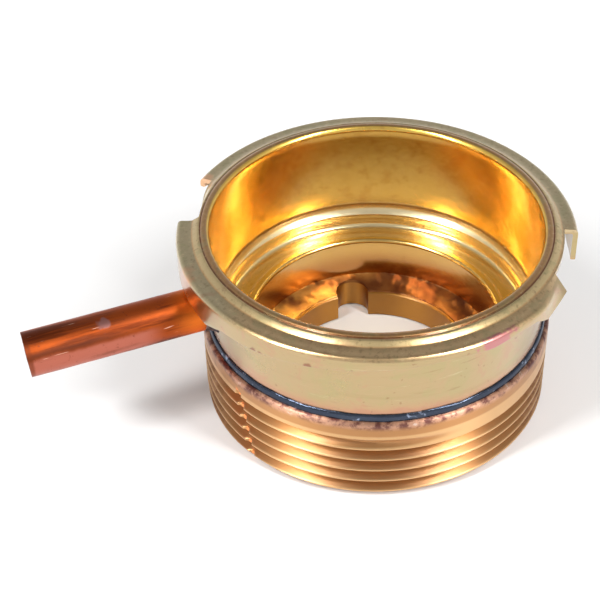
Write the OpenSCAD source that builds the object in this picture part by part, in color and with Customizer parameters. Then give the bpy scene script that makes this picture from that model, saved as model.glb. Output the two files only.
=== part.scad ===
// Radiator filler neck with a bayonet cam rim, an overflow tube and a screw-in threaded base.
// Millimetres. Z is up along the neck's axis, and Z = 0 is the underside of the base ring.
// Angles are read anticlockwise from +X, seen from above.

/* [Neck] */
// inside radius of the drawn neck
neck_inner_r = 23.1; // [20:0.1:26]
// sheet thickness of the neck wall
neck_wall = 0.85; // [0.5:0.05:1.5]
// height of the flange's top face
flange_top_z = 27.8; // [24:0.1:32]
// height of the rolled bead's crest
bead_top_z = 28.7; // [25:0.1:33]
// outside radius of the cam flange
flange_r = 27.75; // [25:0.05:32]
// sheet thickness of the flange and its skirt
flange_sheet = 0.7; // [0.4:0.05:1.2]
// radius that the two cap notches are cut down to
notch_r = 25.8; // [24:0.1:27]

/* [Cams] */
// angle at which the first cam's stop end lies
cam_stop_angle = 179; // [150:1:200]
// angle that one cam spans, from its stop to its lead-in
cam_span = 158; // [120:1:170]
// drop of the stop tab below the flange's corner
stop_drop = 4.7; // [3:0.1:6]
// drop of the deep shelf beside the stop
shelf_drop = 4.0; // [2:0.1:6]
// drop where the locking ramp ends
lock_drop = 2.65; // [1.5:0.05:4]
// drop at the shallow end of the ramp
ramp_drop = 0.75; // [0.5:0.05:2]
// drop of the safety detent beside the lead-in
detent_drop = 2.6; // [1:0.1:4]

/* [Valve seat] */
// radius of the seat's raised lip
seat_lip_r = 18.4; // [14:0.1:21]
// height of the lip's top face
seat_lip_z = 11.4; // [8:0.1:14]
// depth of the trough between lip and wall
seat_trough = 0.5; // [0.2:0.05:1.5]
// inside radius of the throat below the lip
throat_r = 17.7; // [13:0.1:20]
// height of the throat's lower end
throat_end_z = 5.0; // [3:0.1:8]

/* [Base ring] */
// crest radius of the external thread
thread_r = 24.9; // [22:0.05:28]
// thread pitch
thread_pitch = 2.0; // [1:0.05:3]
// radial depth of the thread
thread_depth = 1.23; // [0.6:0.01:1.8]
// height of a thread crest on the side facing -Y
thread_crest_z = 11.0; // [8:0.1:12]
// height of the ring
ring_z = 13.7; // [10:0.1:18]
// radius of the ring's bore
ring_bore_r = 13.6; // [10:0.1:17]
// height of the ledge above the bore
ledge_z = 4.2; // [2:0.1:6]
// chamfer at the ring's lower edge
ring_chamfer = 0.8; // [0.2:0.1:1.5]
// radius of the vertical groove in the bore
groove_r = 2.5; // [1:0.1:4]
// angle of the groove round the bore
groove_angle = 104.6; // [0:0.1:360]

/* [Overflow tube] */
// outside radius of the tube
tube_r = 3.175; // [2:0.025:5]
// wall of the tube
tube_wall = 0.8; // [0.5:0.05:1.2]
// direction in which the tube leaves
tube_angle = 204.4; // [180:0.1:230]
// sideways offset of the tube from the neck's axis
tube_offset = -2.2; // [-4:0.1:4]
// height of the tube's axis
tube_z = 19.5; // [17:0.1:22]
// distance from the neck's axis to the tube's open end
tube_reach = 50.0; // [40:0.5:70]
// distance from the neck's axis to the shoulder where the tube's thinner root begins
tube_root_reach = 28.2; // [26:0.1:32]
// depth of that shoulder
tube_shoulder = 0.2; // [0.16:0.01:0.4]

/* [Hidden] */
$fn = 96;
slack = 0.03;
neck_outer_r = neck_inner_r + neck_wall;
neck_foot_z = seat_lip_z + 1.0;
flange_under_z = flange_top_z - flange_sheet;
corner_z = flange_top_z - 0.5;
bead_r = 0.8;
bead_mid_r = neck_inner_r + 0.7;
seat_sheet = 0.8;
trough_z = seat_lip_z - seat_trough;
rebate_r = neck_outer_r + slack;
rebate_z = neck_foot_z - seat_sheet;
tube_bore_r = tube_r - tube_wall;
tube_root_r = tube_r - tube_shoulder;
cam_step = 2;

// points along a circular arc, from angle a0 to angle a1
function arc(cx, cy, r, a0, a1, n) =
    [for (i = [0 : n]) let (a = a0 + (a1 - a0) * i / n) [cx + r * cos(a), cy + r * sin(a)]];

// eases from 0 to 1
function ease(t) = let (u = min(1, max(0, t))) u * u * (3 - 2 * u);

// drop of the skirt's lower edge below the corner, at angle a from the stop end
function cam_drop(a) = lookup(a, [
    [0, stop_drop],
    [7, stop_drop],
    [11, shelf_drop],
    [37, shelf_drop],
    [45, lock_drop],
    [56, lock_drop - 0.1],
    [111, ramp_drop],
    [124, ramp_drop + 0.45],
    [133, ramp_drop],
    [140, ramp_drop + 0.3],
    [146, detent_drop],
    [cam_span, detent_drop - 0.7]
]);

// cross-section of the neck: foot, wall, rolled bead and the flange as far as the notches
module neck_profile() {
    fillet_r = 2.4;
    foot_top_z = neck_foot_z + 0.65;
    foot_in = 0.9;
    fillet_turn = acos(1 - foot_in / fillet_r);
    fillet_mid_z = foot_top_z + fillet_r * sin(fillet_turn);
    root_r = 0.75;
    polygon(concat(
        [[neck_inner_r - foot_in, neck_foot_z]],
        arc(neck_inner_r - fillet_r, fillet_mid_z, fillet_r, -fillet_turn, 0, 8),
        [[neck_inner_r, bead_top_z - bead_r - 0.35]],
        arc(bead_mid_r, bead_top_z - bead_r, bead_r, 180, 55, 14),
        [[neck_outer_r + 0.38, bead_top_z - 0.21]],
        [[neck_outer_r + 0.5, bead_top_z - 0.19]],
        [[neck_outer_r + 1.4, flange_top_z + 0.26]],
        [[neck_outer_r + 1.6, flange_top_z + 0.13]],
        [[notch_r, flange_top_z + 0.1]],
        [[notch_r, flange_under_z - 0.06]],
        arc(neck_outer_r + root_r, flange_under_z - 0.06 - root_r, root_r, 90, 180, 6),
        [[neck_outer_r, neck_foot_z]]
    ));
}

// cross-section of one cam: flat flange, rounded corner and skirt
module cam_profile() {
    low_z = corner_z - stop_drop - 0.2;
    corner_r = 0.75;
    polygon(concat(
        [[notch_r - 0.4, flange_under_z]],
        [[notch_r - 0.4, flange_top_z]],
        arc(flange_r - corner_r, flange_top_z - corner_r, corner_r, 90, 0, 8),
        [[flange_r, low_z]],
        [[flange_r - flange_sheet, low_z]],
        [[flange_r - flange_sheet, flange_under_z - 0.2]],
        [[flange_r - flange_sheet - 0.2, flange_under_z]]
    ));
}

// removes everything below the cam's lower edge
module cam_cutter() {
    inner_r = notch_r + 0.3;
    outer_r = flange_r + 0.6;
    low_z = corner_z - stop_drop - 1.5;
    steps = ceil((cam_span + 2) / cam_step);
    function slice(a) = let (
            top = corner_z - cam_drop(min(cam_span, max(0, a))),
            c = cos(cam_stop_angle + a),
            s = sin(cam_stop_angle + a))
        [[inner_r * c, inner_r * s, low_z], [outer_r * c, outer_r * s, low_z],
         [outer_r * c, outer_r * s, top], [inner_r * c, inner_r * s, top]];
    points = [for (i = [0 : steps]) each slice(-1 + i * cam_step)];
    sides = [for (i = [0 : steps - 1]) for (k = [0 : 3])
        let (p = 4 * i + k, q = 4 * i + (k + 1) % 4)
        each [[p, q, p + 4], [q, q + 4, p + 4]]];
    q = 4 * steps;
    first_end = [[0, 2, 1], [0, 3, 2]];
    last_end = [[q, q + 1, q + 2], [q, q + 2, q + 3]];
    polyhedron(points, concat(sides, first_end, last_end));
}

// one cam before it is cut: flat flange and a skirt of full depth
module cam_blank() {
    rotate([0, 0, cam_stop_angle])
        rotate_extrude(angle = cam_span)
            cam_profile();
}

// the tube's own axis, as a cylinder from distance a to distance b
module along_tube(a, b, r1, r2) {
    rotate([0, 0, tube_angle])
        translate([a, tube_offset, tube_z])
            rotate([0, 90, 0])
                cylinder(h = b - a, r1 = r1, r2 = r2);
}

// drawn brass neck with its rolled bead and the two cams of the bayonet rim
module neck_shell() {
    color([0.74, 0.62, 0.36])
        difference() {
            union() {
                rotate_extrude()
                    neck_profile();
                cam_blank();
                rotate([0, 0, 180])
                    cam_blank();
            }
            cam_cutter();
            rotate([0, 0, 180])
                cam_cutter();
            along_tube(15, 30, tube_root_r + slack, tube_root_r + slack);
        }
}

// pressed brass seat: outer flange under the neck's foot, trough, raised lip and throat
module valve_seat() {
    lip_out_r = seat_lip_r + 0.45;
    trough_in_r = lip_out_r + 0.5;
    wall_r = neck_inner_r - 0.75;
    color([0.80, 0.63, 0.27])
        rotate_extrude()
            polygon(concat(
                [[throat_r, throat_end_z]],
                [[throat_r, seat_lip_z - 0.6]],
                arc(throat_r + 0.6, seat_lip_z - 0.6, 0.6, 180, 90, 8),
                [[lip_out_r - 0.15, seat_lip_z]],
                arc(lip_out_r - 0.1, seat_lip_z - 0.35, 0.35, 80, 20, 4),
                arc(trough_in_r + 0.2, trough_z + 0.3, 0.3, 200, 270, 4),
                arc(wall_r - 1.0, trough_z + 0.9, 0.9, -90, 0, 8),
                [[wall_r, neck_foot_z - slack]],
                [[neck_outer_r, neck_foot_z - slack]],
                [[neck_outer_r, rebate_z + slack]],
                [[wall_r + seat_sheet, rebate_z + slack]],
                [[wall_r + 0.3, trough_z - 0.3]],
                [[wall_r - 0.5, trough_z - seat_sheet]],
                [[throat_r + seat_sheet, trough_z - seat_sheet]],
                [[throat_r + seat_sheet, throat_end_z]]
            ));
}

// helical V-groove of the base ring's thread
module thread_groove() {
    per_turn = 48;
    out_r = thread_r + 0.12;
    out_half = thread_pitch * 7 / 16 + 0.12 * tan(30);
    turns = 6.3;
    steps = ceil(turns * per_turn);
    mid_z = thread_crest_z - thread_pitch / 2 + 0.1 * thread_pitch;
    function cut(i) = let (
            a = -90 + 36 - i * 360 / per_turn,
            z = mid_z - i * thread_pitch / per_turn,
            run_in = ease(i / (per_turn / 5)),
            d = 0.04 + (thread_depth - 0.04) * run_in,
            half = max(0.05, out_half - (d + 0.12) * tan(30)),
            c = cos(a),
            s = sin(a))
        [[out_r * c, out_r * s, z - out_half], [out_r * c, out_r * s, z + out_half],
         [(thread_r - d) * c, (thread_r - d) * s, z + half],
         [(thread_r - d) * c, (thread_r - d) * s, z - half]];
    points = [for (i = [0 : steps]) each cut(i)];
    sides = [for (i = [0 : steps - 1]) for (k = [0 : 3])
        let (p = 4 * i + k, q = 4 * i + (k + 1) % 4)
        each [[p, p + 4, q], [q, p + 4, q + 4]]];
    q = 4 * steps;
    first_end = [[0, 1, 2], [0, 2, 3]];
    last_end = [[q, q + 2, q + 1], [q, q + 3, q + 2]];
    polyhedron(points, concat(sides, first_end, last_end));
}

// plan of the groove cut down the bore, as an upright cylinder between two heights
module bore_groove(z0, z1) {
    rotate([0, 0, groove_angle])
        translate([ring_bore_r + 0.5, 0, z0])
            cylinder(h = z1 - z0, r = groove_r);
}

// machined brass ring: external thread, rebate for the neck, stepped bore with a groove
module base_ring() {
    seat_bore_r = throat_r + seat_sheet + slack;
    step_r = neck_inner_r - 0.6;
    color([0.78, 0.55, 0.30])
        difference() {
            rotate_extrude()
                polygon([
                    [ring_bore_r, 0],
                    [thread_r - ring_chamfer, 0],
                    [thread_r, ring_chamfer],
                    [thread_r, ring_z - 0.45],
                    [thread_r - 0.15, ring_z - 0.15],
                    [thread_r - 0.45, ring_z],
                    [rebate_r, ring_z],
                    [rebate_r, rebate_z],
                    [step_r + 0.5, rebate_z],
                    [step_r, trough_z - seat_sheet - slack],
                    [seat_bore_r, trough_z - seat_sheet - slack],
                    [seat_bore_r, ledge_z],
                    [ring_bore_r, ledge_z]
                ]);
            thread_groove();
            bore_groove(-1, ledge_z + 1);
        }
}

// copper overflow tube, its inner end flush with the neck's inside wall
module overflow_tube() {
    color([0.72, 0.38, 0.22])
        difference() {
            union() {
                along_tube(15, tube_root_reach + 1, tube_root_r, tube_root_r);
                along_tube(tube_root_reach, tube_reach, tube_r, tube_r);
            }
            along_tube(14, tube_reach + 1, tube_bore_r, tube_bore_r);
            cylinder(h = 60, r = neck_inner_r);
            along_tube(tube_reach - 0.25, tube_reach + 0.01, tube_bore_r, tube_bore_r + 0.25);
        }
}

// soft-solder fillet round the tube's root
module tube_solder() {
    color([0.42, 0.36, 0.34])
        difference() {
            along_tube(neck_inner_r - 2, neck_outer_r + 1.9, tube_r + 2.4, tube_r + 0.25);
            along_tube(10, 40, tube_root_r, tube_root_r);
            cylinder(h = 60, r = neck_outer_r);
        }
}

// dark bead in the corner between the neck's wall and the ring's top
module seam_solder() {
    color([0.16, 0.18, 0.24])
        rotate_extrude()
            polygon([
                [neck_outer_r, ring_z],
                [neck_outer_r + 0.42, ring_z],
                [neck_outer_r + 0.40, ring_z + 0.25],
                [neck_outer_r + 0.28, ring_z + 0.62],
                [neck_outer_r + 0.12, ring_z + 0.95],
                [neck_outer_r, ring_z + 1.15]
            ]);
}

// thin dished layer of solder and flux on the ledge below the throat
module ledge_solder() {
    color([0.34, 0.24, 0.15])
        difference() {
            rotate_extrude()
                polygon([
                    [ring_bore_r + 0.3, ledge_z],
                    [throat_r + seat_sheet, ledge_z],
                    [throat_r + seat_sheet, throat_end_z],
                    [throat_r, throat_end_z],
                    [throat_r - 0.5, throat_end_z - 0.1],
                    [throat_r - 1.8, ledge_z + 0.42],
                    [ring_bore_r + 0.7, ledge_z + 0.2]
                ]);
            bore_groove(ledge_z - 1, throat_end_z + 1);
        }
}

neck_shell();
valve_seat();
base_ring();
overflow_tube();
tube_solder();
seam_solder();
ledge_solder();
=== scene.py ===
"""Radiator filler neck: brass neck and seat, threaded base ring, copper overflow tube, solder."""

import math

import bmesh
import bpy
from mathutils import Matrix, Vector, noise


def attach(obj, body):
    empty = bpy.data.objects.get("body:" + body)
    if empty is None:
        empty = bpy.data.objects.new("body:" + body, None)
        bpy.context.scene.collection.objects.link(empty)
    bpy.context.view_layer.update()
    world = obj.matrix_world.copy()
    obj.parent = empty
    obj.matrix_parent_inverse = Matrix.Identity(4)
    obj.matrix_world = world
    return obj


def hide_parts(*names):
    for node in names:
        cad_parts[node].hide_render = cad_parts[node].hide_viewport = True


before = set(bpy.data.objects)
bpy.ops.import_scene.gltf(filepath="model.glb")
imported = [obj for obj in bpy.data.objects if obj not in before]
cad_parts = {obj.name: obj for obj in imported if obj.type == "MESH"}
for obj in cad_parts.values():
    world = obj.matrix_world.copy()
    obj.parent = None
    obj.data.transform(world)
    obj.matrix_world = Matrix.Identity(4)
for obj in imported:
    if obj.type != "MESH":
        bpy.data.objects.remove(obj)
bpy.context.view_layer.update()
scene = bpy.context.scene

MM = 0.001

# The part's own dimensions, in millimetres and degrees; angles run anticlockwise from +X.
WALL_IN, WALL_OUT = 23.1, 23.95
FOOT_Z, BEAD_Z, FLANGE_Z = 12.4, 28.7, 27.8
CORNER_Z = FLANGE_Z - 0.5
FLANGE_R, SHEET, NOTCH_R = 27.75, 0.7, 25.8
CAM_START, CAM_SPAN, BEND_SPAN = 179, 158, 17
CAM_DROPS = [
    (0, 4.7), (7, 4.7), (11, 4.0), (37, 4.0), (45, 2.65), (56, 2.55), (111, 0.75),
    (124, 1.2), (133, 0.75), (140, 1.05), (146, 2.6), (158, 1.9),
]
LIP_R, LIP_Z, THROAT_R, THROAT_Z = 18.4, 11.4, 17.7, 5.0
THREAD_R, PITCH, THREAD_DEPTH, GROOVE_Z = 24.9, 2.0, 1.23, 10.0
THREAD_TOP_ANGLE, THREAD_TOP_Z = -54.0, 11.5
RING_Z, BORE_R, LEDGE_Z = 13.7, 13.6, 4.2
KEYWAY_R, KEYWAY_ANGLE = 2.5, 104.6
TUBE_R, TUBE_WALL, TUBE_ANGLE, TUBE_SIDE, TUBE_Z, TUBE_END = 3.175, 0.8, 204.4, -2.2, 19.5, 50.0
SAW_TILT = 0.09


# ---------------------------------------------------------------- small helpers
def arc(cx, cz, r, a0, a1, n):
    """Points along an arc, from angle a0 to a1 in degrees."""
    return [
        (cx + r * math.cos(math.radians(a0 + (a1 - a0) * i / n)),
         cz + r * math.sin(math.radians(a0 + (a1 - a0) * i / n)))
        for i in range(n + 1)
    ]


def fill(points, step):
    """The same path with points no more than step apart."""
    out = [points[0]]
    for (r0, z0), (r1, z1) in zip(points, points[1:]):
        n = max(1, math.ceil(math.hypot(r1 - r0, z1 - z0) / step))
        out += [(r0 + (r1 - r0) * k / n, z0 + (z1 - z0) * k / n) for k in range(1, n + 1)]
    return out


def lookup(x, table):
    """Straight lines between the table's points."""
    for (x0, y0), (x1, y1) in zip(table, table[1:]):
        if x <= x1:
            return y0 + (y1 - y0) * max(0.0, x - x0) / (x1 - x0)
    return table[-1][1]


def ease(t):
    t = min(1.0, max(0.0, t))
    return t * t * (3 - 2 * t)


def at(r, z, angle):
    a = math.radians(angle)
    return (r * math.cos(a) * MM, r * math.sin(a) * MM, z * MM)


def piece(name, bm, node, material, sharp=38):
    """Turns a bmesh into a piece that stands for a CAD node."""
    bmesh.ops.remove_doubles(bm, verts=bm.verts, dist=2e-7)
    bmesh.ops.dissolve_degenerate(bm, edges=bm.edges, dist=1e-7)
    bmesh.ops.recalc_face_normals(bm, faces=bm.faces)
    mesh = bpy.data.meshes.new(name)
    bm.to_mesh(mesh)
    bm.free()
    obj = bpy.data.objects.new(name, mesh)
    scene.collection.objects.link(obj)
    mesh.materials.append(material)
    mark_sharp(mesh, sharp)
    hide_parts(node)
    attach(obj, "root")
    return obj


def mark_sharp(mesh, angle):
    """Smooth shading, with edges sharper than angle kept crisp."""
    bm = bmesh.new()
    bm.from_mesh(mesh)
    for face in bm.faces:
        face.smooth = True
    for edge in bm.edges:
        edge.smooth = len(edge.link_faces) == 2 and edge.calc_face_angle(0.0) < math.radians(angle)
    bm.to_mesh(mesh)
    bm.free()


def rings(bm, outlines, angles, loop):
    """Faces between closed outlines set at the given angles."""
    rows = [[bm.verts.new(at(r, z, a)) for r, z in o] for o, a in zip(outlines, angles)]
    pairs = list(zip(rows, rows[1:])) + ([(rows[-1], rows[0])] if loop else [])
    for one, two in pairs:
        n = len(one)
        for k in range(n):
            bm.faces.new((one[k], one[(k + 1) % n], two[(k + 1) % n], two[k]))
    return rows


def cut(obj, cutter_bm):
    """Takes a closed shape out of a piece's mesh."""
    mesh = bpy.data.meshes.new("cutter")
    bmesh.ops.recalc_face_normals(cutter_bm, faces=cutter_bm.faces)
    cutter_bm.to_mesh(mesh)
    cutter_bm.free()
    cutter = bpy.data.objects.new("cutter", mesh)
    scene.collection.objects.link(cutter)
    mod = obj.modifiers.new("cut", "BOOLEAN")
    mod.operation, mod.solver, mod.object = "DIFFERENCE", "EXACT", cutter
    dg = bpy.context.evaluated_depsgraph_get()
    new = bpy.data.meshes.new_from_object(obj.evaluated_get(dg))
    obj.modifiers.clear()
    old, obj.data = obj.data, new
    bpy.data.meshes.remove(old)
    bpy.data.objects.remove(cutter)
    bpy.data.meshes.remove(mesh)
    mark_sharp(new, 38)


def cylinder(matrix, radius, length, sides=72):
    bm = bmesh.new()
    bmesh.ops.create_cone(
        bm, cap_ends=True, segments=sides, radius1=radius * MM, radius2=radius * MM,
        depth=length * MM, matrix=matrix,
    )
    return bm


# ---------------------------------------------------------------- material nodes
def srgb(r, g, b):
    """A screen colour from 0 to 255 as the linear colour that Blender wants."""
    return tuple(
        (c / 255 / 12.92 if c <= 10 else ((c / 255 + 0.055) / 1.055) ** 2.4) for c in (r, g, b)
    ) + (1.0,)


class Finish:
    """A material with its Principled shader, and short ways to add nodes to it."""

    def __init__(self, name):
        self.material = bpy.data.materials.new(name)
        self.material.use_nodes = True
        self.tree = self.material.node_tree
        self.shader = self.tree.nodes["Principled BSDF"]
        self.place = self.tree.nodes.new("ShaderNodeTexCoord").outputs["Object"]
        split = self.node("ShaderNodeSeparateXYZ", {"Vector": self.place})
        self.x, self.y, self.z = (self.maths("MULTIPLY", split.outputs[k], 1000.0) for k in "XYZ")
        self.radius = self.maths("SQRT", self.maths(
            "ADD", self.maths("MULTIPLY", self.x, self.x), self.maths("MULTIPLY", self.y, self.y)))
        self.angle = self.maths("MULTIPLY", self.maths("ARCTAN2", self.y, self.x), 57.29578)

    def node(self, kind, inputs=None, **fields):
        n = self.tree.nodes.new(kind)
        for key, value in fields.items():
            setattr(n, key, value)
        for key, value in (inputs or {}).items():
            self.feed(n.inputs[key], value)
        return n

    def feed(self, socket, value):
        if isinstance(value, bpy.types.NodeSocket):
            self.tree.links.new(value, socket)
        else:
            socket.default_value = value

    def maths(self, what, a, b=0.0, c=0.0):
        return self.node("ShaderNodeMath", {0: a, 1: b, 2: c}, operation=what).outputs[0]

    def stretched(self, sx, sy, sz):
        return self.node("ShaderNodeMapping",
            {"Vector": self.place, "Scale": (sx, sy, sz)}).outputs[0]

    def noise(self, scale, detail=4.0, rough=0.55, where=None, distort=0.0):
        """Noise with features about 1/scale metres across."""
        n = self.node("ShaderNodeTexNoise", {
            "Vector": where or self.place, "Scale": scale, "Detail": detail,
            "Roughness": rough, "Distortion": distort})
        return n.outputs["Fac"]

    def step(self, value, low, high):
        """0 below low, 1 above high, smooth between; low may be the larger one."""
        n = self.node("ShaderNodeMapRange", {"Value": value, "From Min": low, "From Max": high},
                      interpolation_type="SMOOTHSTEP")
        return n.outputs["Result"]

    def band(self, value, low, high, soft):
        """1 between low and high, 0 outside."""
        return self.maths("MULTIPLY", self.step(value, low - soft, low + soft),
                          self.step(value, high + soft, high - soft))

    def spot(self, point, size, uneven=0.0):
        """1 at a point in millimetres, falling to 0 at size from it."""
        d = self.node("ShaderNodeVectorMath", {
            0: self.place, 1: tuple(c * MM for c in point)}, operation="DISTANCE").outputs["Value"]
        d = self.maths("MULTIPLY", d, 1000.0 / size)
        if uneven:
            d = self.maths("ADD", d,
                self.maths("MULTIPLY_ADD", self.noise(700.0), uneven, -uneven / 2))
        return self.step(d, 1.0, 0.55)

    def mix(self, amount, a, b, blend="MIX"):
        n = self.node("ShaderNodeMix", data_type="RGBA", blend_type=blend)
        self.feed(n.inputs["Factor"], amount)
        self.feed(n.inputs[6], a)
        self.feed(n.inputs[7], b)
        return n.outputs[2]

    def bump(self, height, distance_mm, strength=1.0, below=None):
        inputs = {"Height": height, "Distance": distance_mm * MM, "Strength": strength}
        if below is not None:
            inputs["Normal"] = below
        return self.node("ShaderNodeBump", inputs).outputs["Normal"]

    def done(self, color, rough, normal=None, metallic=1.0, **fixed):
        self.feed(self.shader.inputs["Base Color"], color)
        self.feed(self.shader.inputs["Roughness"], rough)
        self.feed(self.shader.inputs["Metallic"], metallic)
        if normal is not None:
            self.feed(self.shader.inputs["Normal"], normal)
        for key, value in fixed.items():
            self.shader.inputs[key.replace("_", " ")].default_value = value
        return self.material


def neck_outside(f, cloud, freckle):
    """Dull khaki brass, pinker and stained towards the seam."""
    streak = f.noise(60.0, 5.0, 0.65, f.stretched(1.0, 1.0, 12.0))
    outside = f.mix(cloud, srgb(180, 156, 108), srgb(186, 158, 114))
    outside = f.mix(f.maths("MULTIPLY", f.step(streak, 0.5, 0.75), 0.6), outside,
        srgb(170, 148, 98))
    mottle = f.noise(190.0, 6.0, 0.68, distort=0.6)
    outside = f.mix(f.maths("MULTIPLY", f.step(mottle, 0.50, 0.62), 0.5), outside,
        srgb(172, 160, 106))
    outside = f.mix(f.maths("MULTIPLY", f.step(mottle, 0.46, 0.36), 0.5), outside,
        srgb(190, 140, 108))
    scuff = f.noise(700.0, 5.0, 0.7, f.stretched(0.16, 0.16, 2.6))
    outside = f.mix(f.maths("MULTIPLY", f.step(scuff, 0.62, 0.70), 0.2), outside,
        srgb(232, 222, 188))
    outside = f.mix(f.maths("MULTIPLY", f.step(scuff, 0.37, 0.31), 0.35), outside,
        srgb(148, 110, 70))
    edge = f.maths("ADD", f.z, f.maths("MULTIPLY", mottle, 3.0))
    outside = f.mix(f.maths("MULTIPLY", f.step(edge, 17.4, 15.9), 0.8), outside,
        srgb(176, 122, 96))
    low = f.step(f.z, 17.0, 14.4)
    outside = f.mix(f.maths("MULTIPLY", low, 0.75), outside, srgb(198, 144, 108))
    stain = f.step(f.noise(240.0, 6.0, 0.7), 0.60, 0.70)
    outside = f.mix(f.maths("MULTIPLY", stain, 0.5), outside, srgb(186, 138, 108))
    outside = f.mix(f.maths("MULTIPLY", freckle, 0.45), outside, srgb(140, 92, 60))
    return outside


def neck_rim(f, cloud):
    """The rim's colours: brown bead with painted shade, painted shade in the groove, khaki flange
    and its brown edge, a painted highlight line and a painted grey reflection on the far side.
    """
    # Painted shade: the bead's inner half is painted brown for the shade it lies in.
    bead_shade = f.mix(cloud, srgb(176, 130, 82), srgb(196, 150, 92))
    khaki = f.mix(cloud, srgb(228, 200, 146), srgb(214, 188, 134))
    brown = f.mix(cloud, srgb(202, 168, 120), srgb(214, 182, 134))
    # Painted reflection: the flange's far side and left are turned grey, as if reflecting the grey
    # surround.
    far = f.maths("MAXIMUM", f.step(f.y, -8.0, 4.0), f.step(f.x, -16.0, -21.0))
    brown = f.mix(f.maths("MULTIPLY", far, 0.8), brown,
        f.mix(cloud, srgb(180, 168, 132), srgb(194, 180, 142)))
    top = f.mix(f.step(f.radius, 24.25, 24.5), bead_shade, khaki)
    # Painted shade: a dark band in the small groove on the bead.
    top = f.mix(f.band(f.radius, 24.25, 24.5, 0.12), top, srgb(140, 94, 62))
    top = f.mix(f.step(f.radius, 25.45, 25.65), top, brown)
    # Painted highlight: an orange line where the khaki slope meets the brown flange.
    top = f.mix(f.maths("MULTIPLY", f.band(f.radius, 25.4, 25.6, 0.12), 0.6), top,
        srgb(214, 160, 104))
    grain = f.noise(1500.0, 5.0, 0.7)
    top = f.mix(f.maths("MULTIPLY", f.step(grain, 0.54, 0.66), 0.40), top, srgb(128, 100, 60))
    top = f.mix(f.maths("MULTIPLY", f.step(grain, 0.44, 0.34), 0.35), top, srgb(236, 214, 160))
    patina = f.noise(300.0, 5.0, 0.65, distort=0.4)
    top = f.mix(f.maths("MULTIPLY", f.step(patina, 0.52, 0.62), 0.35), top, srgb(164, 160, 112))
    top = f.mix(f.maths("MULTIPLY", f.step(patina, 0.42, 0.34), 0.35), top, srgb(176, 128, 96))
    return top


def neck_lacquer(f, cloud, freckle):
    """Gold lacquer inside, painted pale where it meets the seat so the window reflections there
    come out white.
    """
    gold = f.mix(cloud, srgb(244, 204, 98), srgb(232, 188, 78))
    gold = f.mix(f.maths("MULTIPLY", f.step(f.noise(420.0, 5.0, 0.65), 0.5, 0.66), 0.5), gold,
        srgb(214, 158, 50))
    gold = f.mix(f.maths("MULTIPLY", freckle, 0.25), gold, srgb(190, 120, 30))
    # Painted reflection: a pale band over the fillet, so the lamps' reflections there look white.
    pale_for_reflections = f.step(f.z, 15.2, 13.8)
    gold = f.mix(f.maths("MULTIPLY", pale_for_reflections, 0.85), gold, srgb(250, 232, 190))
    return gold


def neck_marks_and_painted_light(f, color):
    """Pink oxide on the skirt, painted shade along the skirt's lower edge, a painted reflection of
    the copper tube with the brazing's heat colour, and the cam's cut end.
    """
    pink = f.maths("MULTIPLY", f.spot((15.6, -23.0, 26.7), 2.8, 2.6), f.step(f.radius, 26.9, 27.2))
    color = f.mix(f.maths("MULTIPLY", pink, 0.8), color, srgb(192, 110, 120))
    # Painted shade: dark spots along the skirt's lower edge.
    for shade_spot in ((-15.6, -23.0, 24.8), (-8.3, -26.5, 25.4), (-14.6, -23.6, 24.6)):
        color = f.mix(f.maths("MULTIPLY", f.spot(shade_spot, 0.75, 1.4), 0.75), color, srgb(132, 70, 44))
    # Painted reflection of the copper tube on the skirt near its root, along with the brazing's
    # heat colour.
    tube_reflection_tint = f.maths("MULTIPLY", f.spot((-25.4, -11.5, 23.6), 5.0, 0.8),
        f.step(f.radius, 23.7, 23.9))
    color = f.mix(f.maths("MULTIPLY", tube_reflection_tint, 0.6), color, srgb(224, 140, 96))
    cut_end = f.maths("MULTIPLY", f.spot((-24.9, 10.6, 27.3), 1.7, 0.6),
        f.step(f.radius, 25.2, 25.5))
    color = f.mix(f.maths("MULTIPLY", cut_end, 0.8), color, srgb(244, 190, 146))
    return color


def neck_finish():
    """Drawn brass: gold lacquer inside, brown bead, dull khaki outside with pink stains; some
    shade, highlights and reflections are painted on the rim, the skirt and inside.
    """
    f = Finish("neck_brass")
    cloud = f.noise(120.0, 5.0)
    fine = f.noise(900.0, 3.0)
    freckle = f.step(fine, 0.66, 0.74)
    outside = neck_outside(f, cloud, freckle)
    top = neck_rim(f, cloud)
    color = f.mix(f.step(f.z, 27.2, 27.45), outside, top)
    gold = neck_lacquer(f, cloud, freckle)
    inside = f.step(f.radius, 23.55, 23.35)
    color = neck_marks_and_painted_light(f, f.mix(inside, color, gold))
    rough_out = f.maths("MULTIPLY_ADD", cloud, 0.14, 0.22)
    rough_in = f.maths("MULTIPLY_ADD", fine, 0.10, 0.20)
    rough = f.node("ShaderNodeMix",
        {"Factor": inside, "A": rough_out, "B": rough_in}).outputs["Result"]
    normal = f.bump(fine, 0.02, 0.6)
    normal = f.bump(f.noise(330.0, 3.0), 0.03, 0.5, normal)
    normal = f.bump(cloud, 0.12, 0.35, normal)
    return f.done(color, rough, normal, Coat_Weight=0.8, Coat_Roughness=0.12, Coat_IOR=1.6)


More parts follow.
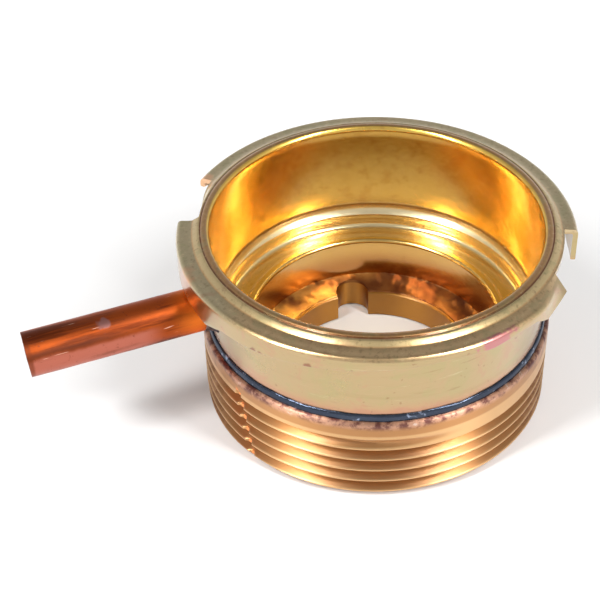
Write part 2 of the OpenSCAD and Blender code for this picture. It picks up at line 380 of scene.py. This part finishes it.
def seat_finish():
    """Pressed brass seat under transparent gold lacquer with dark specks, painted shade deeper
    down its throat, and a painted pale band on the trough's outer wall for white reflections.
    """
    f = Finish("seat_brass")
    cloud = f.noise(130.0, 5.0)
    fine = f.noise(1000.0, 3.0)
    gold = f.mix(cloud, srgb(236, 196, 116), srgb(224, 180, 96))
    # Painted shade: darker deeper down the throat.
    gold = f.mix(f.step(f.z, 10.6, 6.5), gold, srgb(190, 130, 58))
    speck = f.step(fine, 0.68, 0.74)
    gold = f.mix(f.maths("MULTIPLY", speck, 0.4), gold, srgb(120, 70, 25))
    # Painted reflection: the trough's outer wall is painted pale so the lamps' reflections there
    # look white.
    pale_for_reflections = f.maths("MULTIPLY", f.step(f.radius, 21.2, 21.8), f.step(f.z, 10.6, 10.9))
    gold = f.mix(f.maths("MULTIPLY", pale_for_reflections, 0.8), gold, srgb(250, 228, 176))
    rough = f.maths("MULTIPLY_ADD", fine, 0.12, 0.16)
    normal = f.bump(cloud, 0.15, 0.35, f.bump(fine, 0.02, 0.6))
    return f.done(gold, rough, normal, Coat_Weight=0.9, Coat_Roughness=0.1, Coat_IOR=1.6)


def ring_finish():
    """Turned brass: orange threads whose tool lines stretch highlights, crusty pink top land; pale
    crest lines and orange glints along the nick are painted highlights.
    """
    f = Finish("ring_brass")
    cloud = f.noise(110.0, 5.0)
    fine = f.noise(1100.0, 3.0)
    turned = f.noise(30.0, 3.0, 0.6, f.stretched(1.0, 1.0, 60.0))
    thread = f.mix(turned, srgb(180, 128, 76), srgb(196, 142, 88))
    thread = f.mix(f.maths("MULTIPLY", f.step(cloud, 0.5, 0.8), 0.5), thread, srgb(178, 122, 76))
    crust = f.noise(520.0, 6.0, 0.7)
    pink = f.mix(f.step(crust, 0.40, 0.56), srgb(122, 74, 66), srgb(206, 158, 130))
    pink = f.mix(f.maths("MULTIPLY", f.step(crust, 0.60, 0.68), 0.8), pink, srgb(232, 212, 196))
    height = f.maths("ADD", f.z, f.maths("MULTIPLY_ADD", cloud, 1.6, -0.8))
    side = f.maths("MAXIMUM", f.step(f.angle, -141.0, -160.0), f.step(f.angle, -38.0, -18.0))
    land = f.maths("MAXIMUM", f.step(height, 12.3, 13.4), f.maths("MULTIPLY", side, 0.45))
    color = f.mix(land, thread, pink)
    # Painted highlight: pale lines along the thread crests.
    crest_highlight = f.step(f.radius, 24.7, 24.88)
    below = f.step(f.z, 11.6, 11.2)
    color = f.mix(f.maths("MULTIPLY", f.maths("MULTIPLY", crest_highlight, below), 0.6), color,
        srgb(236, 194, 138))
    nick = f.maths("ABSOLUTE", f.maths("ADD", f.maths("MULTIPLY_ADD", f.z, 0.5, 133.0), f.angle))
    nick = f.maths("MULTIPLY", f.step(nick, 0.9, 0.5), f.step(f.radius, 24.2, 24.5))
    nick = f.maths("MULTIPLY", nick, f.step(f.z, 12.2, 11.6))
    # Painted glint: the nick line is painted bright orange, as if catching the copper tube's
    # reflection.
    color = f.mix(f.maths("MULTIPLY", nick, 0.8), color, srgb(255, 156, 84))
    bore = f.step(f.radius, 20.0, 19.0)
    color = f.mix(bore, color, f.mix(cloud, srgb(186, 132, 52), srgb(166, 112, 42)))
    rough = f.maths("ADD", f.maths("MULTIPLY_ADD", fine, 0.10, 0.38),
        f.maths("MULTIPLY", land, 0.10))
    normal = f.bump(turned, 0.012, 0.4, f.bump(f.maths("MULTIPLY", crust, land), 0.10, 0.6))
    round_z = f.node("ShaderNodeTangent", direction_type="RADIAL", axis="Z").outputs[0]
    f.feed(f.shader.inputs["Tangent"], round_z)
    return f.done(color, rough, normal, Anisotropic=0.85, Anisotropic_Rotation=0.25,
                  Coat_Weight=0.5, Coat_Roughness=0.28)


def copper_finish():
    """Copper tube with heat colours, dark flux streaks, a few scratches and a painted pink floor
    reflection on its lower side.
    """
    f = Finish("copper")
    a = math.radians(TUBE_ANGLE)
    along = f.maths("ADD", f.maths("MULTIPLY", f.x, math.cos(a)),
        f.maths("MULTIPLY", f.y, math.sin(a)))
    turned = f.node("ShaderNodeMapping", {
        "Vector": f.place, "Rotation": (0.0, 0.0, a)}, vector_type="TEXTURE").outputs[0]
    lengthwise = f.node("ShaderNodeMapping",
        {"Vector": turned, "Scale": (0.12, 1.6, 1.6)}).outputs[0]
    streak = f.noise(420.0, 5.0, 0.62, lengthwise)
    cloud = f.noise(170.0, 5.0, 0.6)
    across = f.maths("SUBTRACT", f.maths("MULTIPLY", f.y, math.cos(a)),
        f.maths("MULTIPLY", f.x, math.sin(a)))
    turn = f.maths("SUBTRACT", f.maths("SUBTRACT", f.z, TUBE_Z),
        f.maths("SUBTRACT", across, TUBE_SIDE))
    color = f.mix(cloud, srgb(176, 84, 34), srgb(146, 62, 28))
    color = f.mix(f.maths("MULTIPLY", f.step(streak, 0.48, 0.62), 0.85), color, srgb(96, 42, 22))
    uneven = f.maths("MULTIPLY_ADD", cloud, 1.6, turn)
    # Painted reflection: the tube's lower front side is painted pink, as if reflecting the floor.
    low = f.maths("MULTIPLY", f.step(uneven, -0.6, -1.6), f.step(along, 31.0, 35.0))
    color = f.mix(f.maths("MULTIPLY", low, 0.9), color, srgb(184, 108, 90))
    dark = f.maths("MULTIPLY", f.band(uneven, -0.9, 0.3, 0.5), f.step(along, 33.0, 42.0))
    color = f.mix(f.maths("MULTIPLY", dark, 0.7), color, srgb(96, 54, 42))
    ruddy = f.step(f.noise(300.0, 4.0, 0.6, lengthwise), 0.55, 0.66)
    color = f.mix(f.maths("MULTIPLY", ruddy, 0.5), color, srgb(120, 44, 34))
    dots = f.step(f.noise(1300.0, 4.0, 0.7), 0.60, 0.68)
    color = f.mix(f.maths("MULTIPLY", dots, 0.55), color, srgb(112, 56, 38))
    grime = f.maths("MULTIPLY", f.step(f.noise(520.0, 6.0, 0.7, lengthwise), 0.56, 0.66),
        f.step(along, 30.0, 42.0))
    color = f.mix(f.maths("MULTIPLY", grime, 0.6), color, srgb(120, 62, 40))
    pale = f.spot((-36.4, -15.3, TUBE_Z + 2.8), 1.05, 1.6)
    color = f.mix(f.maths("MULTIPLY", pale, 0.8), color, srgb(150, 108, 104))
    scratch = f.step(f.noise(1500.0, 2.0, 0.5, lengthwise), 0.70, 0.74)
    color = f.mix(f.maths("MULTIPLY", scratch, 0.6), color, srgb(255, 206, 180))
    root = f.step(along, 31.0, 26.5)
    color = f.mix(f.maths("MULTIPLY", root, 0.75), color, srgb(246, 128, 44))
    end = f.step(along, TUBE_END - 0.5, TUBE_END - 0.1)
    color = f.mix(f.maths("MULTIPLY", end, 0.7), color, srgb(120, 58, 34))
    rough = f.maths("MULTIPLY_ADD", cloud, 0.16, 0.36)
    normal = f.bump(cloud, 0.1, 0.3, f.bump(streak, 0.05, 0.4))
    return f.done(color, rough, normal)


def solder_finish(name, pale, dark, rough_low, metallic):
    """Lumpy solder in two tones."""
    f = Finish(name)
    lump = f.noise(500.0, 5.0, 0.6)
    color = f.mix(f.step(lump, 0.4, 0.62), dark, pale)
    rough = f.maths("MULTIPLY_ADD", f.noise(1300.0), 0.2, rough_low)
    return f.done(color, rough, f.bump(lump, 0.12, 0.5), metallic)


def seam_finish():
    """Blue-black glossy bead, lumpy, with small pale blue glints painted on."""
    f = Finish("dark_solder")
    cloud = f.noise(260.0, 3.0, 0.5)
    color = f.mix(cloud, srgb(44, 50, 66), srgb(70, 78, 92))
    # Painted glints: small pale blue-white spots.
    color = f.mix(f.maths("MULTIPLY", f.step(f.noise(800.0, 3.0), 0.60, 0.68), 0.8), color,
        srgb(156, 168, 192))
    rough = f.maths("MULTIPLY_ADD", f.noise(1500.0), 0.16, 0.12)
    return f.done(color, rough, f.bump(f.noise(520.0, 4.0), 0.16, 0.6), 0.85)


def flux_finish():
    """Burnt flux film over solder: dark red-brown on the far right, gold on the left, partly a
    painted glow of light.
    """
    f = Finish("brown_solder")
    lump = f.noise(210.0, 3.0, 0.5)
    # Gold on the left: partly a thinner flux film, partly a painted glow of light.
    clear = f.step(f.maths("SUBTRACT", f.maths("MULTIPLY", lump, 9.0), f.x), 12.5, 3.5)
    gold = f.mix(clear, srgb(214, 160, 84), srgb(150, 98, 52))
    color = f.mix(f.step(lump, 0.34, 0.66), srgb(108, 62, 36), gold)
    speck = f.step(f.noise(900.0, 3.0), 0.64, 0.72)
    color = f.mix(f.maths("MULTIPLY", speck, 0.5), color, srgb(64, 38, 26))
    rough = f.maths("MULTIPLY_ADD", lump, 0.25, 0.26)
    return f.done(color, rough, f.bump(lump, 0.12, 0.5), 0.85)


# ---------------------------------------------------------------- pieces
def neck_sides():
    """The neck's outline in two runs: foot, bore and bead out to the notch, and back under it."""
    fillet, root = 2.4, 0.75
    turn = math.acos(1 - 0.9 / fillet)
    middle = FOOT_Z + 0.65 + fillet * math.sin(turn)
    up = [(WALL_IN - 0.9, FOOT_Z), (WALL_IN - 0.9, FOOT_Z + 0.3)]
    up += [(WALL_IN - 0.9, FOOT_Z + 0.57)]
    up += arc(WALL_IN - fillet, middle, fillet, -math.degrees(turn) + 1.5, 0, 16)
    up += fill([(WALL_IN, middle), (WALL_IN, BEAD_Z - 1.15)], 0.9)[1:]
    up += arc(WALL_IN + 0.7, BEAD_Z - 0.8, 0.8, 180, 52, 18)
    up += [(WALL_OUT + 0.33, BEAD_Z - 0.3), (WALL_OUT + 0.39, BEAD_Z - 0.34),
        (WALL_OUT + 0.46, BEAD_Z - 0.31),
           (WALL_OUT + 0.55, BEAD_Z - 0.24), (WALL_OUT + 0.7, BEAD_Z - 0.22),
           (WALL_OUT + 0.9, BEAD_Z - 0.32),
           (WALL_OUT + 1.3, BEAD_Z - 0.58), (WALL_OUT + 1.48, BEAD_Z - 0.72),
           (WALL_OUT + 1.6, BEAD_Z - 0.8),
           (NOTCH_R - 0.1, BEAD_Z - 0.84), (NOTCH_R, BEAD_Z - 0.86)]
    under = FLANGE_Z - SHEET - 0.06
    down = [(NOTCH_R, under)] + arc(WALL_OUT + root, under - root, root, 90, 180, 8)
    down += fill([(WALL_OUT, under - root), (WALL_OUT, FOOT_Z)], 0.9)[1:]
    return up, down


def cam_section(turn, start, stop, folded):
    """The cam's outline beyond the notch line, at an angle turn from its stop end."""
    corner, edge = 0.75, 0.12
    low = CORNER_Z - lookup(turn, CAM_DROPS)
    if not folded:
        low += 0.9 * ease((turn - CAM_SPAN + 6) / 6)
    flat = FLANGE_Z - 0.02
    outer = fill([start, (NOTCH_R + 0.4, flat + 0.01), (FLANGE_R - corner, flat)], 0.35)[1:]
    outer += arc(FLANGE_R - corner, flat - corner, corner, 90, 0, 10)[1:]
    side = flat - corner
    outer += [(FLANGE_R, side + (low + edge - side) * k / 6) for k in range(1, 7)]
    outer += arc(FLANGE_R - edge, low + edge, edge, 0, -90, 3)[1:]
    inner = arc(FLANGE_R - SHEET + edge, low + edge, edge, 270, 180, 3)
    top = FLANGE_Z - SHEET
    inner += [(FLANGE_R - SHEET, low + edge + (top - 0.3 - low - edge) * k / 5) for k in range(1,
        6)]
    inner += arc(FLANGE_R - SHEET - 0.3, top - 0.3, 0.3, 0, 90, 4)[1:]
    inner += [(NOTCH_R + 0.5, top - 0.02)]
    bend = ease((turn - (CAM_SPAN - BEND_SPAN)) / BEND_SPAN)
    if folded and bend > 0:
        end_low = CORNER_Z - CAM_DROPS[-1][1]
        tip = (FLANGE_R - 0.1, end_low)
        under_tip = (FLANGE_R - 0.62, end_low - 0.35)
        outer = bent(outer, start, tip, bend)
        inner = list(reversed(bent(list(reversed(inner)), stop, under_tip, bend)))
    return outer + inner


def bent(points, root, tip, amount):
    """Moves a run of points part of the way onto the straight line from root to tip."""
    path, total = [], 0.0
    last = root
    for p in points:
        total += math.hypot(p[0] - last[0], p[1] - last[1])
        path.append(total)
        last = p
    return [
        (r + (root[0] + (tip[0] - root[0]) * s / total - r) * amount,
         z + (root[1] + (tip[1] - root[1]) * s / total - z) * amount)
        for (r, z), s in zip(points, path)
    ]


def notch_depth(turn):
    """How much deeper the second notch is filed, at an angle turn from the cam's stop end."""
    return 0.0 if turn >= 180 else 1.0 * ease((turn - CAM_SPAN) / 18)


def filed(points, depth):
    """The neck's outline with its notch edge brought in by depth."""
    root = WALL_OUT + 0.7
    keep = 1 - depth / (NOTCH_R - root)
    return [(root + (r - root) * keep if r > root else r, z) for r, z in points]


def make_neck(material):
    """Drawn neck with its two cams; only the first cam's lead-in corner has been folded over."""
    up, down = neck_sides()
    bm = bmesh.new()
    for half in (0, 180):
        first = CAM_START + half
        angles = [first + k for k in range(CAM_SPAN + 1)]
        folded = half == 0
        outlines = [up + cam_section(k, up[-1], down[0],
            folded) + down for k in range(CAM_SPAN + 1)]
        rows = rings(bm, outlines, angles, False)
        for row in (rows[0], rows[-1]):
            bm.faces.new(row[len(up) - 1:len(row) - len(down) + 1])
        gap = [first + CAM_SPAN + k for k in range(180 - CAM_SPAN)] + [first + 179.6, first + 180]
        depths = [0.0 if folded else notch_depth(a - first) for a in gap]
        rings(bm, [filed(up, d) + filed(down, d) for d in depths], gap, False)
    neck = piece("neck", bm, "neck_shell", material)
    direction = Matrix.Rotation(math.radians(TUBE_ANGLE), 4, "Z")
    lay = Matrix.Rotation(math.radians(90), 4, "Y")
    place = direction @ Matrix.Translation((22.5 * MM, TUBE_SIDE * MM, TUBE_Z * MM)) @ lay
    cut(neck, cylinder(place, TUBE_R + 0.03, 9.0))
    bevel = neck.modifiers.new("worn_edges", "BEVEL")
    bevel.limit_method, bevel.angle_limit = "ANGLE", math.radians(55)
    bevel.width, bevel.segments = 0.09 * MM, 2
    return neck


def make_seat(material):
    trough, out, wall = LIP_Z - 0.5, LIP_R + 0.45, WALL_IN - 0.75
    rim = [(THROAT_R, THROAT_Z)] + fill([(THROAT_R, THROAT_Z), (THROAT_R, LIP_Z - 0.6)], 0.6)[1:]
    rim += arc(THROAT_R + 0.6, LIP_Z - 0.6, 0.6, 180, 90, 14)[1:]
    rim += arc(out - 0.1, LIP_Z - 0.35, 0.35, 90, 20, 6)
    rim += arc(out + 0.7, trough + 0.3, 0.3, 200, 270, 6)
    rim += fill([(out + 0.7, trough), (wall - 1.0, trough)], 0.4)[1:]
    rim += arc(wall - 1.0, trough + 0.9, 0.9, -90, 0, 14)[1:]
    rim += [(wall, FOOT_Z - 0.03), (WALL_OUT, FOOT_Z - 0.03), (WALL_OUT, FOOT_Z - 0.77),
            (wall + 0.8, FOOT_Z - 0.77), (wall + 0.3, trough - 0.3), (wall - 0.5, trough - 0.8),
            (THROAT_R + 0.8, trough - 0.8), (THROAT_R + 0.8, THROAT_Z)]
    bm = bmesh.new()
    rings(bm, [rim] * 360, range(360), True)
    return piece("seat", bm, "valve_seat", material)


def thread_radius(angle, z):
    """Radius of the threaded side at a height, with the groove running out at its top end."""
    wrapped = (angle - THREAD_TOP_ANGLE) % 360 - 360 + THREAD_TOP_ANGLE
    top = GROOVE_Z + PITCH * (wrapped + 90) / 360
    turn = round((top - z) / PITCH)
    run_in = ease(((THREAD_TOP_ANGLE - wrapped) / 360 + turn) / 0.2) if turn >= 0 else 0.0
    off = abs(z - (top - turn * PITCH))
    half_root = PITCH * 7 / 16 - THREAD_DEPTH * math.tan(math.radians(30))
    slope = (PITCH * 7 / 16 - max(off, half_root)) / math.tan(math.radians(30))
    depth = max(0.0, slope) * run_in
    from_nick = abs((angle + 180) % 360 - 180 + 0.5 * z + 133.0)
    nick = 0.45 * ease(1.6 - from_nick / 0.8) if z < THREAD_TOP_Z else 0.0
    return min(THREAD_R - max(depth, nick), THREAD_R - 0.8 + z)


def make_ring(material):
    columns = 360
    offsets = [-0.18, -0.1, 0.1, 0.18, 0.36, 0.6, 0.82, 1.18, 1.4, 1.64]
    heights = [PITCH * k + o for k in range(-1, 7) for o in offsets]
    fixed = fill([(THREAD_R, THREAD_TOP_Z), (THREAD_R, RING_Z - 0.5)], 0.5)[1:]
    fixed += arc(THREAD_R - 0.5, RING_Z - 0.5, 0.5, 0, 90, 6)[1:]
    fixed += [(WALL_OUT + 0.03, RING_Z), (WALL_OUT + 0.03, FOOT_Z - 0.8),
        (WALL_IN - 0.1, FOOT_Z - 0.8),
              (WALL_IN - 0.6, LIP_Z - 1.33), (THROAT_R + 0.83, LIP_Z - 1.33),
              (THROAT_R + 0.83, LEDGE_Z)]
    fixed += fill([(THROAT_R + 0.83, LEDGE_Z), (BORE_R + 0.15, LEDGE_Z),
        (BORE_R, LEDGE_Z - 0.15)], 0.8)[1:]
    fixed += fill([(BORE_R, LEDGE_Z - 0.15), (BORE_R, 0.0)], 0.5)[1:]
    bm = bmesh.new()
    cols = []
    for j in range(columns):
        angle = 90 + j * 360 / columns
        col = []
        for h in heights:
            z = min(THREAD_TOP_Z, max(0.0, h + PITCH * j / columns))
            col.append(bm.verts.new(at(thread_radius(angle, z), z, angle)))
        cols.append((col, [bm.verts.new(at(r, z, angle)) for r, z in fixed]))
    per_turn, count = len(offsets), len(heights)
    for j in range(columns):
        helix, plain = cols[j]
        next_helix, next_plain = cols[(j + 1) % columns]
        shift = per_turn if j == columns - 1 else 0
        one = helix + plain
        two = [next_helix[min(count - 1, u + shift)] for u in range(count)] + next_plain
        for k in range(len(one)):
            quad = []
            for v in (one[k], one[(k + 1) % len(one)], two[(k + 1) % len(one)], two[k]):
                if v not in quad:
                    quad.append(v)
            if len(quad) > 2:
                bm.faces.new(quad)
    ring = piece("ring", bm, "base_ring", material, 30)
    cut(ring, keyway(-1.0, LEDGE_Z + 1.0))
    return ring


def keyway(z0, z1):
    place = Matrix.Translation(at(BORE_R + 0.5, (z0 + z1) / 2, KEYWAY_ANGLE))
    return cylinder(place, KEYWAY_R, z1 - z0)


def make_tube(material):
    """Round tube: its inner end follows the neck's bore, its outer end is sawn slightly askew."""
    sides, a = 72, math.radians(TUBE_ANGLE)
    axis, side = Vector((math.cos(a), math.sin(a), 0)), Vector((-math.sin(a), math.cos(a), 0))

    def point(along, radius, turn):
        across = TUBE_SIDE + radius * math.cos(turn)
        return (axis * along + side * across + Vector((0, 0,
            TUBE_Z + radius * math.sin(turn)))) * MM

    bm = bmesh.new()
    outer, inner = TUBE_R, TUBE_R - TUBE_WALL
    rows = []
    for k in range(sides):
        turn = 2 * math.pi * k / sides
        start_out = math.sqrt(WALL_IN**2 - (TUBE_SIDE + outer * math.cos(turn)) ** 2)
        start_in = math.sqrt(WALL_IN**2 - (TUBE_SIDE + inner * math.cos(turn)) ** 2)
        end = TUBE_END + 0.1 + SAW_TILT * outer * (0.75 * math.cos(turn) + 0.66 * math.sin(turn))
        path = []
        steps = 44
        for i in range(steps + 1):
            along = start_out + (end - 0.04 - start_out) * i / steps
            dent = 0.05 * noise.noise(Vector((along * 0.25, math.cos(turn) * 1.3,
                math.sin(turn) * 1.3)))
            path.append(point(along, outer - 0.03 + dent * 0.5, turn))
        saw = 0.10 * noise.noise(Vector((math.cos(turn) * 2.0, math.sin(turn) * 2.0, 7.0)))
        path.append(point(end + saw * 0.5, outer - 0.12, turn))
        path.append(point(end + saw * 0.5, inner + 0.12, turn))
        path += [point(end - 0.22 - (end - 0.22 - start_in) * i / 12, inner,
            turn) for i in range(13)]
        rows.append([bm.verts.new(p) for p in path])
    for k in range(sides):
        one, two = rows[k], rows[(k + 1) % sides]
        for i in range(len(one)):
            j = (i + 1) % len(one)
            bm.faces.new((one[i], one[j], two[j], two[i]))
    return piece("tube", bm, "overflow_tube", material)


def make_tube_solder(material):
    """Rough fillet between the tube and the neck's wall."""
    sides, a = 96, math.radians(TUBE_ANGLE)
    axis, side = Vector((math.cos(a), math.sin(a), 0)), Vector((-math.sin(a), math.cos(a), 0))
    bm = bmesh.new()
    rows = []
    for k in range(sides):
        turn = 2 * math.pi * k / sides
        lump = 0.5 + 0.5 * noise.noise(Vector((math.cos(turn) * 3, math.sin(turn) * 3, 1.0)))
        reach = 1.05 - 0.45 * lump
        row = []
        for i in range(9):
            t = i / 8
            radius = TUBE_R + 0.02 + (reach - 0.12) * (1 - t) ** 1.8 + 0.05
            across = TUBE_SIDE + radius * math.cos(turn)
            wall = math.sqrt((WALL_OUT + 0.01) ** 2 - across**2)
            rough = 0.12 * noise.noise(Vector((math.cos(turn) * 6, math.sin(turn) * 6, t * 4)))
            along = wall + (1.75 + rough) * t**1.3
            row.append((along, across, TUBE_Z + radius * math.sin(turn)))
        across = TUBE_SIDE + TUBE_R * math.cos(turn)
        row.append((row[-1][0], across, TUBE_Z + TUBE_R * math.sin(turn)))
        row.append((math.sqrt((WALL_OUT + 0.01) ** 2 - across**2), across,
            TUBE_Z + TUBE_R * math.sin(turn)))
        rows.append([bm.verts.new((axis * u + side * v + Vector((0, 0, w))) * MM) for u, v,
            w in row])
    for k in range(sides):
        one, two = rows[k], rows[(k + 1) % sides]
        for i in range(len(one)):
            j = (i + 1) % len(one)
            bm.faces.new((one[i], one[j], two[j], two[i]))
    return piece("tube_fillet", bm, "tube_solder", material, 60)


def make_seam(material):
    """Dark bead laid in the corner between neck and ring, uneven in width."""
    bm = bmesh.new()
    outlines, angles = [], [k * 0.75 for k in range(480)]
    for a in angles:
        spot = Vector((math.cos(math.radians(a)) * 9, math.sin(math.radians(a)) * 9, 0))
        wide = 0.40 + 0.05 * noise.noise(spot)
        tall = 1.0 + 0.14 * noise.noise(spot + Vector((0, 0, 5)))
        curve = [
            (WALL_OUT + wide * math.sin(math.radians(t)) ** 0.9,
             RING_Z + tall * math.cos(math.radians(t)) ** 0.9)
            for t in range(0, 91, 9)
        ]
        outlines.append([(WALL_OUT - 0.02, RING_Z), (WALL_OUT - 0.02, RING_Z + tall)] + curve)
    rings(bm, outlines, angles, True)
    return piece("seam_bead", bm, "seam_solder", material, 60)


def make_ledge(material):
    """Burnt solder and flux pooled on the ledge, lumpy on top."""
    bm = bmesh.new()
    outlines, angles = [], [k * 0.75 for k in range(480)]
    wall = THROAT_R + 0.8
    for a in angles:
        c, s = math.cos(math.radians(a)), math.sin(math.radians(a))
        top = []
        for i in range(13):
            r = BORE_R + 0.45 + (THROAT_R - BORE_R - 0.5) * i / 12
            base = lookup(r,
                [(BORE_R + 0.4, 0.12), (THROAT_R - 1.8, 0.4), (THROAT_R - 0.5, 0.68),
                (THROAT_R, 0.8)])
            lump = noise.fractal(Vector((c * r * 0.45, s * r * 0.45, 3.0)), 1.0, 2.0, 4)
            top.append((r, LEDGE_Z + max(0.05, base + 0.16 * lump * min(1.0, 2.5 * base))))
        outlines.append([(BORE_R + 0.35, LEDGE_Z + 0.01)] + top + [(THROAT_R, THROAT_Z),
            (wall, THROAT_Z), (wall, LEDGE_Z + 0.01)])
    rings(bm, outlines, angles, True)
    ledge = piece("ledge_flux", bm, "ledge_solder", material, 60)
    cut(ledge, keyway(LEDGE_Z - 1.0, THROAT_Z + 1.0))
    return ledge


# ---------------------------------------------------------------- studio
def make_floor():
    bm = bmesh.new()
    bmesh.ops.create_grid(bm, x_segments=2, y_segments=2, size=3.0)
    mesh = bpy.data.meshes.new("floor")
    bm.to_mesh(mesh)
    bm.free()
    floor = bpy.data.objects.new("floor", mesh)
    scene.collection.objects.link(floor)
    material = bpy.data.materials.new("floor_white")
    material.use_nodes = True
    shader = material.node_tree.nodes["Principled BSDF"]
    shader.inputs["Base Color"].default_value = (0.84, 0.84, 0.84, 1)
    shader.inputs["Roughness"].default_value = 0.8
    shader.inputs["Specular IOR Level"].default_value = 0.2
    mesh.materials.append(material)
    floor.location.z = -0.0002


def make_light(name, place, size, power, aim=(0, 0, 0.012)):
    data = bpy.data.lights.new(name, "AREA")
    data.shape = "RECTANGLE"
    data.size, data.size_y = size
    data.energy = power
    obj = bpy.data.objects.new(name, data)
    scene.collection.objects.link(obj)
    obj.location = place
    obj.rotation_mode = "QUATERNION"
    obj.rotation_quaternion = (Vector(aim) - Vector(place)).to_track_quat("-Z", "Y")
    return obj


def make_world():
    """Studio surround: bright low down on all sides, dim overhead."""
    world = bpy.data.worlds.new("studio")
    world.use_nodes = True
    scene.world = world
    tree = world.node_tree
    coord = tree.nodes.new("ShaderNodeTexCoord")
    split = tree.nodes.new("ShaderNodeSeparateXYZ")
    tree.links.new(coord.outputs["Generated"], split.inputs[0])
    ramp = tree.nodes.new("ShaderNodeValToRGB")
    ramp.color_ramp.interpolation = "EASE"
    levels = [(0.0, 0.74), (0.3, 0.66), (0.55, 0.50), (0.8, 0.34), (1.0, 0.26)]
    stops = ramp.color_ramp.elements
    while len(stops) < len(levels):
        stops.new(0.5)
    for stop, (where, level) in zip(stops, levels):
        stop.position, stop.color = where, (level, level, level, 1)
    tree.links.new(split.outputs["Z"], ramp.inputs["Fac"])
    back = tree.nodes["Background"]
    tree.links.new(ramp.outputs["Color"], back.inputs["Color"])
    back.inputs["Strength"].default_value = 1.0


# The camera, as solved from the neck's circles: turns in degrees, place in metres, lens in
# millimetres on a 36 mm sensor.
CAMERA_PAN, CAMERA_TILT, CAMERA_ROLL = -3.74, 40.08, 1.54
CAMERA_PLACE = (0.0, -0.1656, 0.1537)
SENSOR, LENS = 36.0, 90.06


def make_camera():
    pan, tilt, roll = (math.radians(a) for a in (CAMERA_PAN, CAMERA_TILT, CAMERA_ROLL))
    forward = Vector((math.sin(pan) * math.cos(tilt), math.cos(pan) * math.cos(tilt),
        -math.sin(tilt)))
    right = Vector((math.cos(pan), -math.sin(pan), 0))
    down = forward.cross(right)
    x_axis = right * math.cos(roll) + down * math.sin(roll)
    y_axis = right * math.sin(roll) - down * math.cos(roll)
    data = bpy.data.cameras.new("camera")
    data.sensor_width, data.lens = SENSOR, LENS
    data.clip_start, data.clip_end = 0.01, 20
    obj = bpy.data.objects.new("camera", data)
    scene.collection.objects.link(obj)
    turn = Matrix((x_axis, y_axis, -forward)).transposed()
    obj.matrix_world = Matrix.Translation(CAMERA_PLACE) @ turn.to_4x4()
    scene.camera = obj


# Both window lights: width and height in metres, power in watts.
WINDOW_SIZE, WINDOW_WATTS = (0.12, 0.72), 7.5

make_neck(neck_finish())
make_seat(seat_finish())
make_ring(ring_finish())
make_tube(copper_finish())
make_tube_solder(solder_finish("grey_solder", srgb(150, 130, 126), srgb(66, 56, 58), 0.35, 0.85))
make_seam(seam_finish())
make_ledge(flux_finish())
make_floor()
make_light("left_window", (-0.53, -0.42, 0.66), WINDOW_SIZE, WINDOW_WATTS)
make_light("right_window", (0.55, -0.39, 0.66), WINDOW_SIZE, WINDOW_WATTS)
make_world()
make_camera()
scene.view_settings.view_transform = "Standard"
